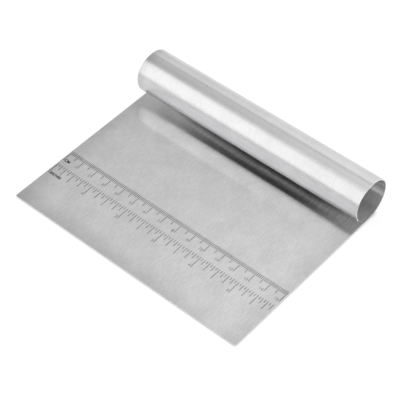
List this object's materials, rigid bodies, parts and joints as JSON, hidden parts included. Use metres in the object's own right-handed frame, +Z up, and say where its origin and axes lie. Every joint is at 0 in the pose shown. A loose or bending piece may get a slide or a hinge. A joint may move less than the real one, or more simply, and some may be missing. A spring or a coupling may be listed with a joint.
{
  "type": "dough scraper",
  "caption": "Flat rectangular steel blade with a straight front edge, its rear rolled over into an open tube handle, for cutting, lifting and scraping dough.",
  "frame": {"origin": "on the resting plane, midway across the width and the depth", "axes": "+X along the front edge, +Y from the front edge to the rolled handle, +Z up"},
  "size_m": [0.152, 0.1228, 0.0269],
  "materials": {
    "steel": "satin stainless steel sheet, brushed from the front edge to the back and on round the roll"
  },
  "bodies": {
    "root": {"blade": "steel", "rolled_handle": "steel"}
  },
  "joints": []
}
